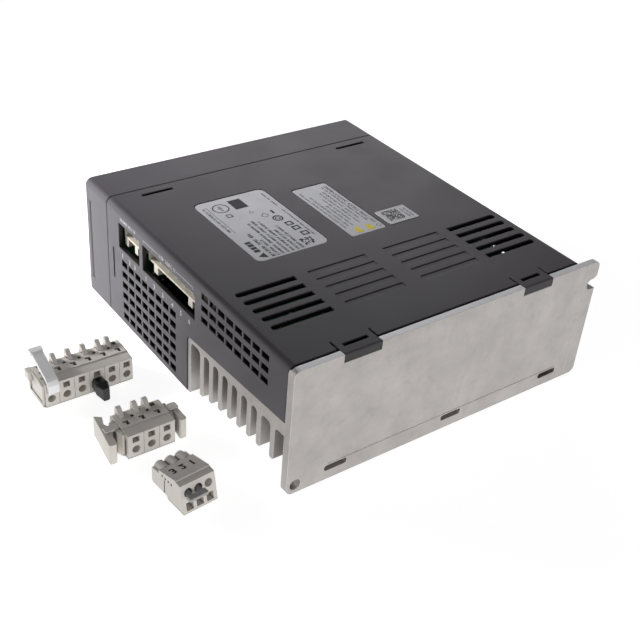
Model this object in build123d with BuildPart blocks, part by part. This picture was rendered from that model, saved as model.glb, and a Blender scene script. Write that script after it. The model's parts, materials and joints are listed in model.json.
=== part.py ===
from build123d import *
import math
import os

# A book-format servo drive with its three pluggable connectors, lying on its unlabelled side.
# +X points to the drive's upper end, +Y out of the mounting plate's outer face, +Z out of the labelled side.
# The origin is the centre of the mounting plate's outer face.

# ---------------------------------------------------------------- driving dimensions (mm)
width = 65.0            # Z, resting side to labelled side
depth = 186.0           # Y, front face to the mounting face
body_length = 165.4     # X, plastic body
plate_length = 175.0    # X, mounting plate
plate_thick = 4.15
seam_back = 23.8        # front shell meets main housing, behind the front face
body_back = 181.4       # rear edge of the plastic, behind the front face
wall = 2.2
edge_round = 3.6        # along the labelled side's edges
resting_round = 1.0     # along the resting side's edges
end_round = 0.9

fin_front = 102.7       # heatsink starts here, behind the front face
slab_low, slab_high = 29.6, 36.4
sink_down = 142.5       # fins end here, below the upper end
fan_size, fan_deep, fan_bore = 60.0, 15.0, 28.4

board_low, board_thick = 58.0, 1.6
pole_pitch = 7.5
regen_pitch = 5.0

top_end = plate_length / 2
low_end = top_end - body_length
half_width = width / 2


def down(distance):
    """X of a point this far below the drive's upper end face."""
    return top_end - distance


def beyond(distance):
    """X of a point this far beyond the drive's upper end face."""
    return top_end + distance


def back(distance):
    """Y of a point this far behind the front face."""
    return distance - depth


def up(height):
    """Z of a point this far above the surface that the drive lies on."""
    return height - half_width


def across_plane(y):
    """Plane at Y = y for sketches in X and Z."""
    return Plane.XZ.offset(-y)


def block(x, y, z, mode=Mode.ADD):
    """Rectangular block between two limits along each axis."""
    with Locations(((x[0] + x[1]) / 2, (y[0] + y[1]) / 2, (z[0] + z[1]) / 2)):
        Box(abs(x[1] - x[0]), abs(y[1] - y[0]), abs(z[1] - z[0]), mode=mode)


def rod(start, end, radius, mode=Mode.ADD):
    """Round bar between two points."""
    axis = Vector(*end) - Vector(*start)
    with BuildSketch(Plane(origin=start, z_dir=axis)) as section:
        Circle(radius)
    extrude(section.sketch, amount=axis.length, mode=mode)


def prism_x(points, x_low, x_high, mode=Mode.ADD):
    """Straight-sided prism along X with the given (Y, Z) outline."""
    with BuildSketch(Plane.YZ.offset(x_low)) as section:
        with BuildLine():
            Polyline(*points, close=True)
        make_face()
    extrude(section.sketch, amount=x_high - x_low, mode=mode)


def body_section(y, inset, radius):
    """Cross-section of the plastic body at Y = y, inset from its outer faces, radius on its labelled side."""
    with BuildSketch(across_plane(y)) as section:
        with Locations((down(body_length / 2), 0)):
            Rectangle(body_length - 2 * inset, width - 2 * inset)
        fillet(section.vertices().filter_by(lambda v: v.Y > 0), radius)
        fillet(section.vertices().filter_by(lambda v: v.Y < 0), resting_round)
    return section.sketch


os.makedirs("parts", exist_ok=True)

# ---------------------------------------------------------------- heatsink and mounting plate
notch_width, notch_length = 5.5, 16.5
notch_end, notch_height = 169.1, 52.7
hole_radius = 2.75
hole_down, hole_height = 4.4, 4.75
plate_slot_downs = (25.4, 91.3, 154.3)
tab_spans = ((24.5, 43.4), (125.3, 142.9))
tab_thick = 1.7
tab_hook = 2.4
hook_deep = 1.1
skirt_front_height, skirt_rear_height = 31.7, 36.8
first_fin = (103.0, 105.6)
first_tip = 0.2
fin_thick = 3.0
# the other fins: (middle behind the front face, height of the tip)
fins = [(115.5, 5.2), (123.5, 6.7), (131.4, 8.0), (139.2, 9.0),
        (147.0, 9.8), (154.9, 10.4), (162.7, 10.9), (173.1, 11.5)]
stud_spots = [(12.0, 110.0), (136.0, 110.0), (12.0, 172.0), (136.0, 172.0)]
earth_heights = (14.0, 32.0)
earth_down = 170.2
m4_radius = 2.0
scribe_deep = 0.25
groove_wide, groove_deep = 0.95, 1.2      # along the plate's labelled edge, next to the housing

with BuildPart() as mounting_plate:
    with BuildSketch(across_plane(-plate_thick)) as plate_outline:
        RectangleRounded(plate_length, width, 3.2)
        with Locations((down(hole_down), up(hole_height))):
            Circle(hole_radius, mode=Mode.SUBTRACT)
        with Locations((down(notch_end + notch_length / 2), up(notch_height))):
            SlotOverall(notch_length, notch_width, mode=Mode.SUBTRACT)
        lips = plate_outline.vertices().filter_by(lambda v: v.X < down(plate_length - 0.1))
        fillet(lips.filter_by(lambda v: up(54) < v.Y < up(57)), 2.8)
        fillet(lips.filter_by(lambda v: up(49) < v.Y < up(51)), 1.0)
        for slot_down in plate_slot_downs:
            with Locations((down(slot_down), up(6.4))):
                RectangleRounded(12.0, 3.0, 1.2, mode=Mode.SUBTRACT)
    extrude(plate_outline.sketch, amount=plate_thick, dir=(0, 1, 0))
    for height in earth_heights:
        rod((down(earth_down), -plate_thick - 1, up(height)), (down(earth_down), -0.8, up(height)),
            m4_radius + 0.05, mode=Mode.SUBTRACT)
    # recesses that take the housing's snap tabs and their hooks
    for near, far in tab_spans:
        block((down(far + 0.3), down(near - 0.3)), (-plate_thick, 0),
              (up(width - tab_thick - 0.1), up(width + 1)), mode=Mode.SUBTRACT)
        block((down(far + 0.3), down(near - 0.3)), (-hook_deep - 0.1, 0),
              (up(width - tab_thick - tab_hook - 0.1), up(width + 1)), mode=Mode.SUBTRACT)
    # open groove between the housing's rear edge and the plate's labelled edge
    block((down(plate_length), down(-plate_length)), (-plate_thick, groove_wide - plate_thick),
          (up(width - groove_deep), up(width + 1)), mode=Mode.SUBTRACT)
    # scribed lines on the mounting face
    block((down(160.0), down(21.0)), (-scribe_deep, 1), (up(8.5), up(9.0)), mode=Mode.SUBTRACT)
    block((down(167.5), down(167.1)), (-scribe_deep, 1), (up(0), up(width)), mode=Mode.SUBTRACT)
mounting_plate.part.label = "mounting_plate"
export_step(mounting_plate.part, "parts/mounting_plate.step")

skirt_gap = 0.4
# the slab's upper end follows the plastic skirt's lower edge, this far below it
skirt_line = [(back(fin_front) - 1, up(skirt_front_height - 2.4 - skirt_gap)),
              (back(fin_front + 0.3), up(skirt_front_height - 1.9 - skirt_gap)),
              (back(fin_front + 0.8), up(skirt_front_height - 0.6 - skirt_gap)),
              (back(fin_front + 2.4), up(skirt_front_height + 0.1 - skirt_gap)),
              (-plate_thick, up(skirt_rear_height - skirt_gap)),
              (-plate_thick, up(45)), (back(fin_front) - 1, up(45))]

with BuildPart() as heatsink:
    with BuildSketch(Plane.YZ.offset(down(sink_down))) as comb:
        with Locations(((back(fin_front + 0.3) - plate_thick) / 2, up((slab_low + slab_high) / 2))):
            Rectangle(-plate_thick - back(fin_front + 0.3), slab_high - slab_low)
        with Locations((back(sum(first_fin) / 2), up((first_tip + slab_low) / 2))):
            Rectangle(first_fin[1] - first_fin[0], slab_low - first_tip)
        for middle, tip in fins:
            with Locations((back(middle), up((tip + slab_low) / 2))):
                Rectangle(fin_thick, slab_low - tip)
        roots = comb.vertices().filter_by(
            lambda v: abs(v.Y - up(slab_low)) < 0.01 and v.X < -plate_thick - 0.5)
        fillet(roots.filter_by(lambda v: v.X > back(104)), 2.35)
        tips = comb.vertices().filter_by(lambda v: v.Y < up(13) and v.X > back(104))
        fillet(tips, 1.0)
    extrude(comb.sketch, amount=sink_down - 0.4)
    prism_x(skirt_line, down(wall + 0.4), down(-1), mode=Mode.SUBTRACT)
    for stud_down, stud_back in stud_spots:
        with Locations((down(stud_down), back(stud_back), up(slab_high))):
            Cylinder(1.5, 5.0, align=(Align.CENTER, Align.CENTER, Align.MAX), mode=Mode.SUBTRACT)
heatsink.part.label = "heatsink"
export_step(heatsink.part, "parts/heatsink.step")

# ---------------------------------------------------------------- main housing
regen_window = (36.2, 57.3)
power_window = (60.6, 109.5)
motor_window = (60.6, 88.5)
window_heights = (43.7, 57.5)
vent_rows, vent_pitch, vent_first = 5, 6.9, 128.8
vent_height = 3.5
upper_vent, lower_vent = (8.6, 39.8), (160.0, 129.2)   # rounded outer end, square inner end
# middles of the grids of end vents, behind the front face and above the resting side
left_grid = (65.6, 20.8)
right_grid = (141.7, 54.3)
thin_wall = 0.8               # behind both grids
label_deep, label_thick, label_margin = 0.4, 0.2, 0.45
# each label: (near, far) below the upper end, (front, rear) behind the front face, corner radius
rating_place = (32.5, 72.2, 50.4, 109.9, 3.6)
notice_place = (84.2, 104.7, 59.8, 111.5, 1.2)
code_place = (107.7, 125.7, 98.0, 111.3, 0.6)
dummy_vents = ((47.0, 79.2), (89.7, 123.0))
fan_back = 142.0
fan_down = 147.5
grille_reach = 27.5


def label_sheet(place, low, thick, margin=0.0, mode=Mode.ADD):
    """Thin rounded sheet on the labelled side, from the height low upwards."""
    near, far, front, rear, corner = place
    with BuildSketch(Plane.XY.offset(up(low))) as sheet:
        with Locations((down((near + far) / 2), back((front + rear) / 2))):
            RectangleRounded(far - near + 2 * margin, rear - front + 2 * margin, corner + margin)
    extrude(sheet.sketch, amount=thick, mode=mode)


with BuildPart() as main_housing:
    extrude(body_section(back(seam_back), 0, edge_round), amount=body_back - seam_back, dir=(0, 1, 0))
    extrude(body_section(back(seam_back) - 1, wall, edge_round - wall), amount=body_back - seam_back + 2,
            dir=(0, 1, 0), mode=Mode.SUBTRACT)
    chamfer(main_housing.faces().sort_by(Axis.Y)[0].outer_wire().edges(), 0.35)
    # the heatsink fills the space below this sloping skirt
    skirt_cut = [(back(fin_front), up(-1)), (back(fin_front), up(skirt_front_height - 2.0)),
                 (back(fin_front + 0.6), up(skirt_front_height - 0.6)),
                 (back(fin_front + 2.2), up(skirt_front_height + 0.1)),
                 (back(body_back) + 1, up(skirt_rear_height)), (back(body_back) + 1, up(-1))]
    prism_x(skirt_cut, down(sink_down + 0.5), down(-1), mode=Mode.SUBTRACT)
    # five rows of cooling slots on the labelled side, with closed recesses between them
    for row in range(vent_rows):
        row_back = back(vent_first + row * vent_pitch)
        for outer, inner in (upper_vent, lower_vent):
            round_end = outer + math.copysign(vent_height / 2, inner - outer)
            with BuildSketch(Plane.XY.offset(up(width - wall - 1))) as vent:
                with Locations((down((round_end + inner) / 2), row_back)):
                    Rectangle(abs(inner - round_end), vent_height)
                with Locations((down(round_end), row_back)):
                    Circle(vent_height / 2)
            extrude(vent.sketch, amount=wall + 2, mode=Mode.SUBTRACT)
        for near, far in dummy_vents:
            block((down(far), down(near)), (row_back - vent_height / 2, row_back - vent_height / 2 + 0.7),
                  (up(width - 0.5), up(width + 1)), mode=Mode.SUBTRACT)
            block((down(far), down(near)), (row_back - vent_height / 2, row_back + vent_height / 2),
                  (up(width - 0.25), up(width + 1)), mode=Mode.SUBTRACT)
    # slots for the front shell's catches, near the seam
    for near, far in ((16.1, 33.3), (134.4, 153.5)):
        block((down(far), down(near)), (back(28.8), back(31.0)), (up(width - wall - 1), up(width + 1)),
              mode=Mode.SUBTRACT)
    # and a shallow groove on the upper end with a catch slot at each of its ends
    block((down(0.5), down(-1)), (back(29.2), back(30.6)), (up(22.9), up(40.6)), mode=Mode.SUBTRACT)
    for height in (23.9, 39.6):
        block((down(wall + 1), down(-1)), (back(29.2), back(30.6)), (up(height - 1.0), up(height + 1.0)),
              mode=Mode.SUBTRACT)
    # connector windows and end vents
    for near, far in (regen_window, power_window):
        block((down(wall + 1), down(-1)), (back(near), back(far)),
              (up(window_heights[0]), up(window_heights[1])),
              mode=Mode.SUBTRACT)
    block((low_end - 1, low_end + wall + 1), (back(motor_window[0]), back(motor_window[1])),
          (up(window_heights[0]), up(window_heights[1])), mode=Mode.SUBTRACT)
    with BuildSketch(Plane.YZ.offset(down(wall + 1))) as end_vents:
        with Locations((back(left_grid[0]), up(left_grid[1]))):
            with GridLocations(6.86, 6.15, 8, 6):
                Rectangle(5.5, 3.5)
        with Locations((back(right_grid[0]), up(right_grid[1]))):
            with GridLocations(6.8, 5.92, 8, 3):
                Rectangle(5.6, 3.1)
    extrude(end_vents.sketch, amount=wall + 2, mode=Mode.SUBTRACT)
    for (grid_back, grid_height), half_span, half_rise in ((left_grid, 28.5, 18.2), (right_grid, 28.5, 8.2)):
        block((down(wall + 0.5), down(thin_wall)), (back(grid_back - half_span), back(grid_back + half_span)),
              (up(grid_height - half_rise), up(grid_height + half_rise)), mode=Mode.SUBTRACT)
    # shallow beds for the two larger labels
    for place in (rating_place, notice_place):
        label_sheet(place, width - label_deep, label_deep + 1, label_margin, Mode.SUBTRACT)
    # fan grille in the lower end: square cells inside the fan's circle
    cells = [(a, b) for a in range(-4, 5) for b in range(-4, 5)
             if math.hypot(a, b) * 6.2 < grille_reach - 2.6]
    with BuildSketch(Plane.YZ.offset(low_end - 1)) as grille:
        with Locations(*[(back(fan_back) + a * 6.2, b * 6.2) for a, b in cells]):
            Rectangle(4.8, 4.8)
    extrude(grille.sketch, amount=wall + 2, mode=Mode.SUBTRACT)
    # snap tabs reach over the plate's edge and hook behind it
    for near, far in tab_spans:
        block((down(far), down(near)), (back(body_back) - 1, -0.05), (up(width - tab_thick), up(width)))
        block((down(far), down(near)), (-hook_deep, -0.05), (up(width - tab_thick - tab_hook), up(width)))
        for side in (near - 0.5, far + 0.5):
            block((down(side + 0.5), down(side - 0.5)), (back(175.8), back(body_back) + 1),
                  (up(width - wall - 1), up(width + 1)), mode=Mode.SUBTRACT)
        block((down(far - 3.0), down(near + 3.0)), (back(179.0), back(181.2)),
              (up(width - wall - 1), up(width + 1)),
              mode=Mode.SUBTRACT)
    hooks = main_housing.edges().filter_by(Axis.X).filter_by(
        lambda e: e.center().Y > -0.1 and e.center().Z > up(width) - 0.1)
    fillet(hooks, 0.8)
main_housing.part.label = "main_housing"
export_step(main_housing.part, "parts/main_housing.step")

# ---------------------------------------------------------------- front shell
lid_span = (9.1, 54.5)        # heights that the lid covers
lid_length = 46.5
hinge_down, hinge_back = 2.1, 3.1
hinge_radius = 2.1
pin_radius = 0.8
floor_back = 5.6              # keypad floor under the lid
key_downs = 37.5
key_heights = [17.0 + 7.4 * k for k in range(5)]
key_names = ["mode_key", "shift_key", "up_key", "down_key", "set_key"]
display_down, display_height = 17.5, 32.0
display_cut = (11.0, 31.0)    # along X, along Z
board_front = 16.0            # control board, behind the front face
socket_front = 0.7
# each socket's place: (near, far) below the upper end, (low, high) above the resting side
io_spot = ((62.0, 104.0), (43.0, 53.5))
encoder_spots = [((112.0, 125.0), (42.5, 54.0)), ((131.0, 144.0), (42.5, 54.0))]
jack_pair_spot = ((64.0, 97.0), (11.0, 27.0))
serial_spot = ((104.0, 120.5), (11.0, 27.0))
safety_spot = ((128.0, 149.0), (13.0, 24.0))
usb_spot = ((51.5, 60.1), (20.0, 25.0))
lamp_down, lamp_height = 54.5, 34.0
port_spots = [io_spot, *encoder_spots, jack_pair_spot, serial_spot, safety_spot, usb_spot]

with BuildPart() as front_shell:
    extrude(body_section(back(0), 0, edge_round), amount=seam_back - 0.12, dir=(0, 1, 0))
    fillet(front_shell.edges().filter_by(lambda e: abs(e.center().Y - back(0)) < 0.01), end_round)
    extrude(body_section(back(wall), wall, edge_round - wall), amount=seam_back, dir=(0, 1, 0),
            mode=Mode.SUBTRACT)
    chamfer(front_shell.faces().sort_by(Axis.Y)[-1].outer_wire().edges(), 0.35)
    # frame and floor of the keypad recess
    block((down(49.5), down(0.4)), (back(1.2), back(7.6)), (up(lid_span[0] - 1.9), up(lid_span[1] + 1.9)))
    block((down(lid_length + 0.9), down(-3)), (back(-1), back(floor_back)),
          (up(lid_span[0]), up(lid_span[1])),
          mode=Mode.SUBTRACT)
    # bores that hold the lid's hinge pins
    for low, high in ((lid_span[0] - 1.9, lid_span[0] + 0.1), (lid_span[1] - 0.1, lid_span[1] + 1.9)):
        rod((down(hinge_down), back(hinge_back), up(low)), (down(hinge_down), back(hinge_back), up(high)),
            pin_radius,
            mode=Mode.SUBTRACT)
    with BuildSketch(across_plane(back(floor_back) - 1)) as panel_holes:
        with Locations((down(display_down), up(display_height))):
            Rectangle(*display_cut)
        with Locations(*[(down(key_downs), up(h)) for h in key_heights]):
            Rectangle(6.2, 5.2)
    extrude(panel_holes.sketch, amount=4, dir=(0, 1, 0), mode=Mode.SUBTRACT)
    # a finger notch below the lid
    block((down(lid_length + 3.5), down(lid_length)), (back(-1), back(1.6)), (up(26), up(38)),
          mode=Mode.SUBTRACT)
    for (near, far), (low, high) in port_spots:
        block((down(far + 0.3), down(near - 0.3)), (back(-1), back(wall + 1)),
              (up(low - 0.3), up(high + 0.3)),
              mode=Mode.SUBTRACT)
    rod((down(lamp_down), back(-1), up(lamp_height)), (down(lamp_down), back(wall + 1), up(lamp_height)), 1.6,
        mode=Mode.SUBTRACT)
front_shell.part.label = "front_shell"
export_step(front_shell.part, "parts/front_shell.step")

# ---------------------------------------------------------------- hinged keypad lid
window_cut = (15.0, 35.0)
lid_gap = 0.25

with BuildPart() as front_lid:
    low, high = up(lid_span[0] + lid_gap), up(lid_span[1] - lid_gap)
    with BuildSketch(Plane.XY.offset(low)) as lid_section:
        with Locations((down(lid_length / 2), back(1.0))):
            Rectangle(lid_length, 2.0)
        with Locations((down(2.1), back(1.55))):
            Rectangle(4.2, 3.1)
        with Locations((down(hinge_down), back(hinge_back))):
            Circle(hinge_radius)
        corner = lid_section.vertices().filter_by(lambda v: v.X > down(0.1) and v.Y < back(0.1))
        fillet(corner, end_round)
    extrude(lid_section.sketch, amount=high - low)
    for start, end in ((low - 1, low + 5), (high - 5, high + 1)):
        rod((down(hinge_down), back(hinge_back), start), (down(hinge_down), back(hinge_back), end),
            pin_radius + 0.05,
            mode=Mode.SUBTRACT)
    with BuildSketch(across_plane(back(-1))) as window_hole:
        with Locations((down(display_down), up(display_height))):
            RectangleRounded(*window_cut, 1.5)
    extrude(window_hole.sketch, amount=4, dir=(0, 1, 0), mode=Mode.SUBTRACT)
    # moulded lip for a finger nail
    block((down(lid_length + 0.6), down(lid_length - 1)), (back(0.0), back(1.2)), (up(27), up(37)))
front_lid.part.label = "front_lid"
export_step(front_lid.part, "parts/front_lid.step")

with BuildPart() as lid_window:
    with BuildSketch(across_plane(back(0.3))) as pane:
        with Locations((down(display_down), up(display_height))):
            RectangleRounded(window_cut[0] - 0.1, window_cut[1] - 0.1, 1.45)
    extrude(pane.sketch, amount=1.4, dir=(0, 1, 0))
lid_window.part.label = "lid_window"
export_step(lid_window.part, "parts/lid_window.step")

with BuildPart() as lid_hinge_pins:
    for start, end in ((lid_span[0] - 1.9, lid_span[0] + 4.5), (lid_span[1] - 4.5, lid_span[1] + 1.9)):
        rod((down(hinge_down), back(hinge_back), up(start)), (down(hinge_down), back(hinge_back), up(end)),
            pin_radius)
lid_hinge_pins.part.label = "lid_hinge_pins"
export_step(lid_hinge_pins.part, "parts/lid_hinge_pins.step")

# ---------------------------------------------------------------- display and keypad
panel_front = 12.5

with BuildPart() as display_window:
    block((down(display_down + 5.4), down(display_down - 5.4)), (back(floor_back + 0.2), back(7.4)),
          (up(display_height - 15.4), up(display_height + 15.4)))
display_window.part.label = "display_window"
export_step(display_window.part, "parts/display_window.step")

with BuildPart() as display_module:
    block((down(display_down + 6.0), down(display_down - 6.0)), (back(8.0), back(panel_front)),
          (up(display_height - 15.6), up(display_height + 15.6)))
    # five digit wells in its face
    for digit in range(5):
        middle = display_height + (digit - 2) * 6.1
        block((down(display_down + 4.2), down(display_down - 4.2)), (back(7.5), back(8.3)),
              (up(middle - 2.5), up(middle + 2.5)), mode=Mode.SUBTRACT)
display_module.part.label = "display_module"
export_step(display_module.part, "parts/display_module.step")

for key_name, key_height in zip(key_names, key_heights):
    # cap, retaining flange behind the keypad floor and actuating stem, 1 mm clear of the switch
    with BuildPart() as key:
        block((down(key_downs + 2.9), down(key_downs - 2.9)), (back(3.6), back(7.9)),
              (up(key_height - 2.4), up(key_height + 2.4)))
        fillet(key.faces().sort_by(Axis.Y)[0].edges(), 0.7)
        block((down(key_downs + 3.8), down(key_downs - 3.8)), (back(7.7), back(8.5)),
              (up(key_height - 3.1), up(key_height + 3.1)))
        rod((down(key_downs), back(8.0), up(key_height)), (down(key_downs), back(9.1), up(key_height)), 1.1)
    key.part.label = key_name
    export_step(key.part, f"parts/{key_name}.step")

with BuildPart() as key_switches:
    for height in key_heights:
        block((down(key_downs + 2.5), down(key_downs - 2.5)), (back(10.6), back(panel_front)),
              (up(height - 2.5), up(height + 2.5)))
        rod((down(key_downs), back(10.1), up(height)), (down(key_downs), back(10.8), up(height)), 1.3)
key_switches.part.label = "key_switches"
export_step(key_switches.part, "parts/key_switches.step")

with BuildPart() as panel_board:
    block((down(46.5), down(6.0)), (back(panel_front), back(panel_front + 1.6)), (up(10.5), up(53.5)))
panel_board.part.label = "panel_board"
export_step(panel_board.part, "parts/panel_board.step")

# ---------------------------------------------------------------- control board and front sockets
with BuildPart() as control_board:
    block((down(160.5), down(4.5)), (back(board_front), back(board_front + 1.6)), (up(3.5), up(61.5)))
    for near in (9.0, 156.0):
        for height in (7.0, 58.0):
            rod((down(near), back(board_front - 1), up(height)),
                (down(near), back(board_front + 3), up(height)), 1.6,
                mode=Mode.SUBTRACT)
control_board.part.label = "control_board"
export_step(control_board.part, "parts/control_board.step")

with BuildPart() as control_chips:
    for near, height, size in ((75.0, 35.0, 18.0), (112.0, 34.0, 12.0), (140.0, 33.0, 14.0)):
        block((down(near + size / 2), down(near - size / 2)), (back(board_front - 1.8), back(board_front)),
              (up(height - size / 2 + 3), up(height + size / 2 - 3)))
control_chips.part.label = "control_chips"
export_step(control_chips.part, "parts/control_chips.step")


def tongue_socket(spot, cavity, tongue, cavity_deep):
    """Board socket with a rectangular mouth around a contact tongue."""
    (near, far), (low, high) = spot
    x, z = down((near + far) / 2), up((low + high) / 2)
    block((down(far), down(near)), (back(socket_front), back(board_front)), (up(low), up(high)))
    block((x - cavity[0] / 2, x + cavity[0] / 2), (back(socket_front) - 1, back(socket_front + cavity_deep)),
          (z - cavity[1] / 2, z + cavity[1] / 2), mode=Mode.SUBTRACT)
    block((x - tongue[0] / 2, x + tongue[0] / 2),
          (back(socket_front + 1), back(socket_front + cavity_deep + 1)),
          (z - tongue[1] / 2, z + tongue[1] / 2))


def jack_row(spot, ports):
    """Modular jack: a row of square mouths with latch keyways."""
    (near, far), (low, high) = spot
    pitch = (far - near) / ports
    block((down(far), down(near)), (back(socket_front), back(board_front)), (up(low), up(high)))
    for port in range(ports):
        x = down(near + pitch * (port + 0.5))
        block((x - 5.9, x + 5.9), (back(socket_front) - 1, back(12.6)), (up(low + 2.2), up(high - 4.6)),
              mode=Mode.SUBTRACT)
        block((x - 3.1, x + 3.1), (back(socket_front) - 1, back(12.6)), (up(low + 3.0), up(high - 2.4)),
              mode=Mode.SUBTRACT)


with BuildPart() as io_socket:
    tongue_socket(io_spot, (38.0, 7.0), (34.0, 2.6), 7.0)
io_socket.part.label = "io_socket"
export_step(io_socket.part, "parts/io_socket.step")

with BuildPart() as encoder_sockets:
    for encoder_spot in encoder_spots:
        tongue_socket(encoder_spot, (10.6, 8.6), (8.0, 2.8), 8.0)
encoder_sockets.part.label = "encoder_sockets"
export_step(encoder_sockets.part, "parts/encoder_sockets.step")

with BuildPart() as usb_socket:
    tongue_socket(usb_spot, (7.4, 3.8), (5.0, 1.0), 6.0)
usb_socket.part.label = "usb_socket"
export_step(usb_socket.part, "parts/usb_socket.step")

with BuildPart() as network_jacks:
    jack_row(jack_pair_spot, 2)
network_jacks.part.label = "network_jacks"
export_step(network_jacks.part, "parts/network_jacks.step")

with BuildPart() as serial_jack:
    jack_row(serial_spot, 1)
serial_jack.part.label = "serial_jack"
export_step(serial_jack.part, "parts/serial_jack.step")

with BuildPart() as safety_socket:
    tongue_socket(safety_spot, (18.6, 8.4), (15.0, 2.4), 8.0)
safety_socket.part.label = "safety_socket"
export_step(safety_socket.part, "parts/safety_socket.step")

with BuildPart() as charge_lamp:
    rod((down(lamp_down), back(0.4), up(lamp_height)),
        (down(lamp_down), back(board_front), up(lamp_height)), 1.45)
charge_lamp.part.label = "charge_lamp"
export_step(charge_lamp.part, "parts/charge_lamp.step")

# ---------------------------------------------------------------- power board and what stands on it
with BuildPart() as power_board:
    block((down(145.0), down(4.6)), (back(36.0), back(177.5)), (up(board_low), up(board_low + board_thick)))
    block((down(161.0), down(140.0)), (back(36.0), back(108.0)), (up(board_low), up(board_low + board_thick)))
    for stud_down, stud_back in stud_spots:
        with Locations((down(stud_down), back(stud_back), up(board_low + board_thick / 2))):
            Cylinder(1.7, 4.0, mode=Mode.SUBTRACT)
power_board.part.label = "power_board"
export_step(power_board.part, "parts/power_board.step")

with BuildPart() as board_link:
    block((down(110.0), down(70.0)), (back(board_front + 1.6), back(42.0)),
          (up(board_low - 5.2), up(board_low)))
board_link.part.label = "board_link"
export_step(board_link.part, "parts/board_link.step")

with BuildPart() as power_module:
    block((down(104.0), down(34.0)), (back(118.0), back(160.0)), (up(slab_high + 0.6), up(slab_high + 8.6)))
    fillet(power_module.edges().filter_by(Axis.Z), 2.0)
    for pin in range(13):
        for side in (120.0, 158.0):
            block((down(40.4 + pin * 4.8), down(39.6 + pin * 4.8)), (back(side - 0.4), back(side + 0.4)),
                  (up(slab_high + 8), up(board_low)))
power_module.part.label = "power_module"
export_step(power_module.part, "parts/power_module.step")

with BuildPart() as thermal_pad:
    block((down(104.5), down(33.5)), (back(117.5), back(160.5)), (up(slab_high), up(slab_high + 0.6)))
thermal_pad.part.label = "thermal_pad"
export_step(thermal_pad.part, "parts/thermal_pad.step")

with BuildPart() as rectifier_bridge:
    block((down(134.0), down(112.0)), (back(122.0), back(152.0)), (up(slab_high), up(slab_high + 6.0)))
    for pin in range(4):
        block((down(124.0 - 1.2), down(124.0)), (back(127.0 + pin * 6.5), back(128.0 + pin * 6.5)),
              (up(slab_high + 5), up(board_low)))
rectifier_bridge.part.label = "rectifier_bridge"
export_step(rectifier_bridge.part, "parts/rectifier_bridge.step")

capacitor_radius = 12.5
with BuildPart() as bus_capacitors:
    for near in (44.0, 72.0, 100.0):
        with Locations((down(near), back(84.0), up(board_low))):
            Cylinder(capacitor_radius, 46.0, align=(Align.CENTER, Align.CENTER, Align.MAX))
    fillet(bus_capacitors.edges().filter_by(GeomType.CIRCLE), 1.2)
bus_capacitors.part.label = "bus_capacitors"
export_step(bus_capacitors.part, "parts/bus_capacitors.step")

with BuildPart() as filter_choke:
    with Locations((down(26.0), back(54.0), up(board_low - 9.0))):
        Cylinder(9.0, 18.0)
        Cylinder(4.0, 18.0, mode=Mode.SUBTRACT)
    fillet(filter_choke.edges().filter_by(GeomType.CIRCLE), 1.5)
filter_choke.part.label = "filter_choke"
export_step(filter_choke.part, "parts/filter_choke.step")

with BuildPart() as inrush_relay:
    block((down(64.0), down(44.0)), (back(50.0), back(66.0)), (up(board_low - 16.0), up(board_low)))
    fillet(inrush_relay.edges().filter_by(Axis.Z), 1.0)
inrush_relay.part.label = "inrush_relay"
export_step(inrush_relay.part, "parts/inrush_relay.step")

with BuildPart() as board_studs:
    for stud_down, stud_back in stud_spots:
        with BuildSketch(Plane.XY.offset(up(slab_high))) as hexagon:
            with Locations((down(stud_down), back(stud_back))):
                RegularPolygon(2.9, 6)
        extrude(hexagon.sketch, amount=board_low - slab_high)
        rod((down(stud_down), back(stud_back), up(slab_high - 4.5)),
            (down(stud_down), back(stud_back), up(slab_high)), 1.4)
        with Locations((down(stud_down), back(stud_back), up(board_low))):
            Cylinder(1.3, 8.0, align=(Align.CENTER, Align.CENTER, Align.MAX), mode=Mode.SUBTRACT)
board_studs.part.label = "board_studs"
export_step(board_studs.part, "parts/board_studs.step")


def pan_screw(x, y, z, shank_radius, length, head_radius):
    """Cross-head screw standing along Z with its head's seat at z and its shank below."""
    rod((x, y, z - length), (x, y, z + 0.2), shank_radius)
    rod((x, y, z), (x, y, z + head_radius * 0.62), head_radius)
    for size in ((head_radius * 1.2, 0.6), (0.6, head_radius * 1.2)):
        block((x - size[0] / 2, x + size[0] / 2), (y - size[1] / 2, y + size[1] / 2),
              (z + head_radius * 0.25, z + head_radius), mode=Mode.SUBTRACT)


with BuildPart() as board_screws:
    for stud_down, stud_back in stud_spots:
        pan_screw(down(stud_down), back(stud_back), up(board_low + board_thick), 1.25, 6.0, 2.6)
board_screws.part.label = "board_screws"
export_step(board_screws.part, "parts/board_screws.step")


# ---------------------------------------------------------------- pluggable connector headers
def header_shroud(start, size, ribs, partitions, face, inward):
    """Open-fronted header under the power board.

    start is its front-most edge behind the front face, face is the X of its mouth, and inward is -1 or +1,
    the way that it goes into the drive. partitions are the places of the walls between its poles.
    """
    far_x = face + inward * 11.0
    block((face, far_x), (back(start), back(start + size)), (up(49.2), up(board_low)))
    block((face - inward, face + inward * 9.0), (back(start + 1.3), back(start + size - 1.3)),
          (up(50.3), up(56.9)), mode=Mode.SUBTRACT)
    for partition in partitions:
        block((face + inward * 2.0, far_x), (back(partition - 0.6), back(partition + 0.6)),
              (up(50.0), up(57.2)))
    for near, far in ribs:
        block((face, far_x), (back(near), back(far)), (up(45.0), up(49.3)))


def header_pins(poles, face, inward):
    """One right-angled pin for each pole, from the mouth through the shroud and up to the board."""
    for pole in poles:
        block((face + inward * 1.5, face + inward * 13.5), (back(pole - 0.5), back(pole + 0.5)),
              (up(53.1), up(54.1)))
        block((face + inward * 12.5, face + inward * 13.5), (back(pole - 0.5), back(pole + 0.5)),
              (up(53.1), up(board_low)))


def poles_about(middle, count, pitch):
    """Places of a row of poles centred on middle."""
    return [middle + (pole - (count - 1) / 2) * pitch for pole in range(count)]


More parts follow.
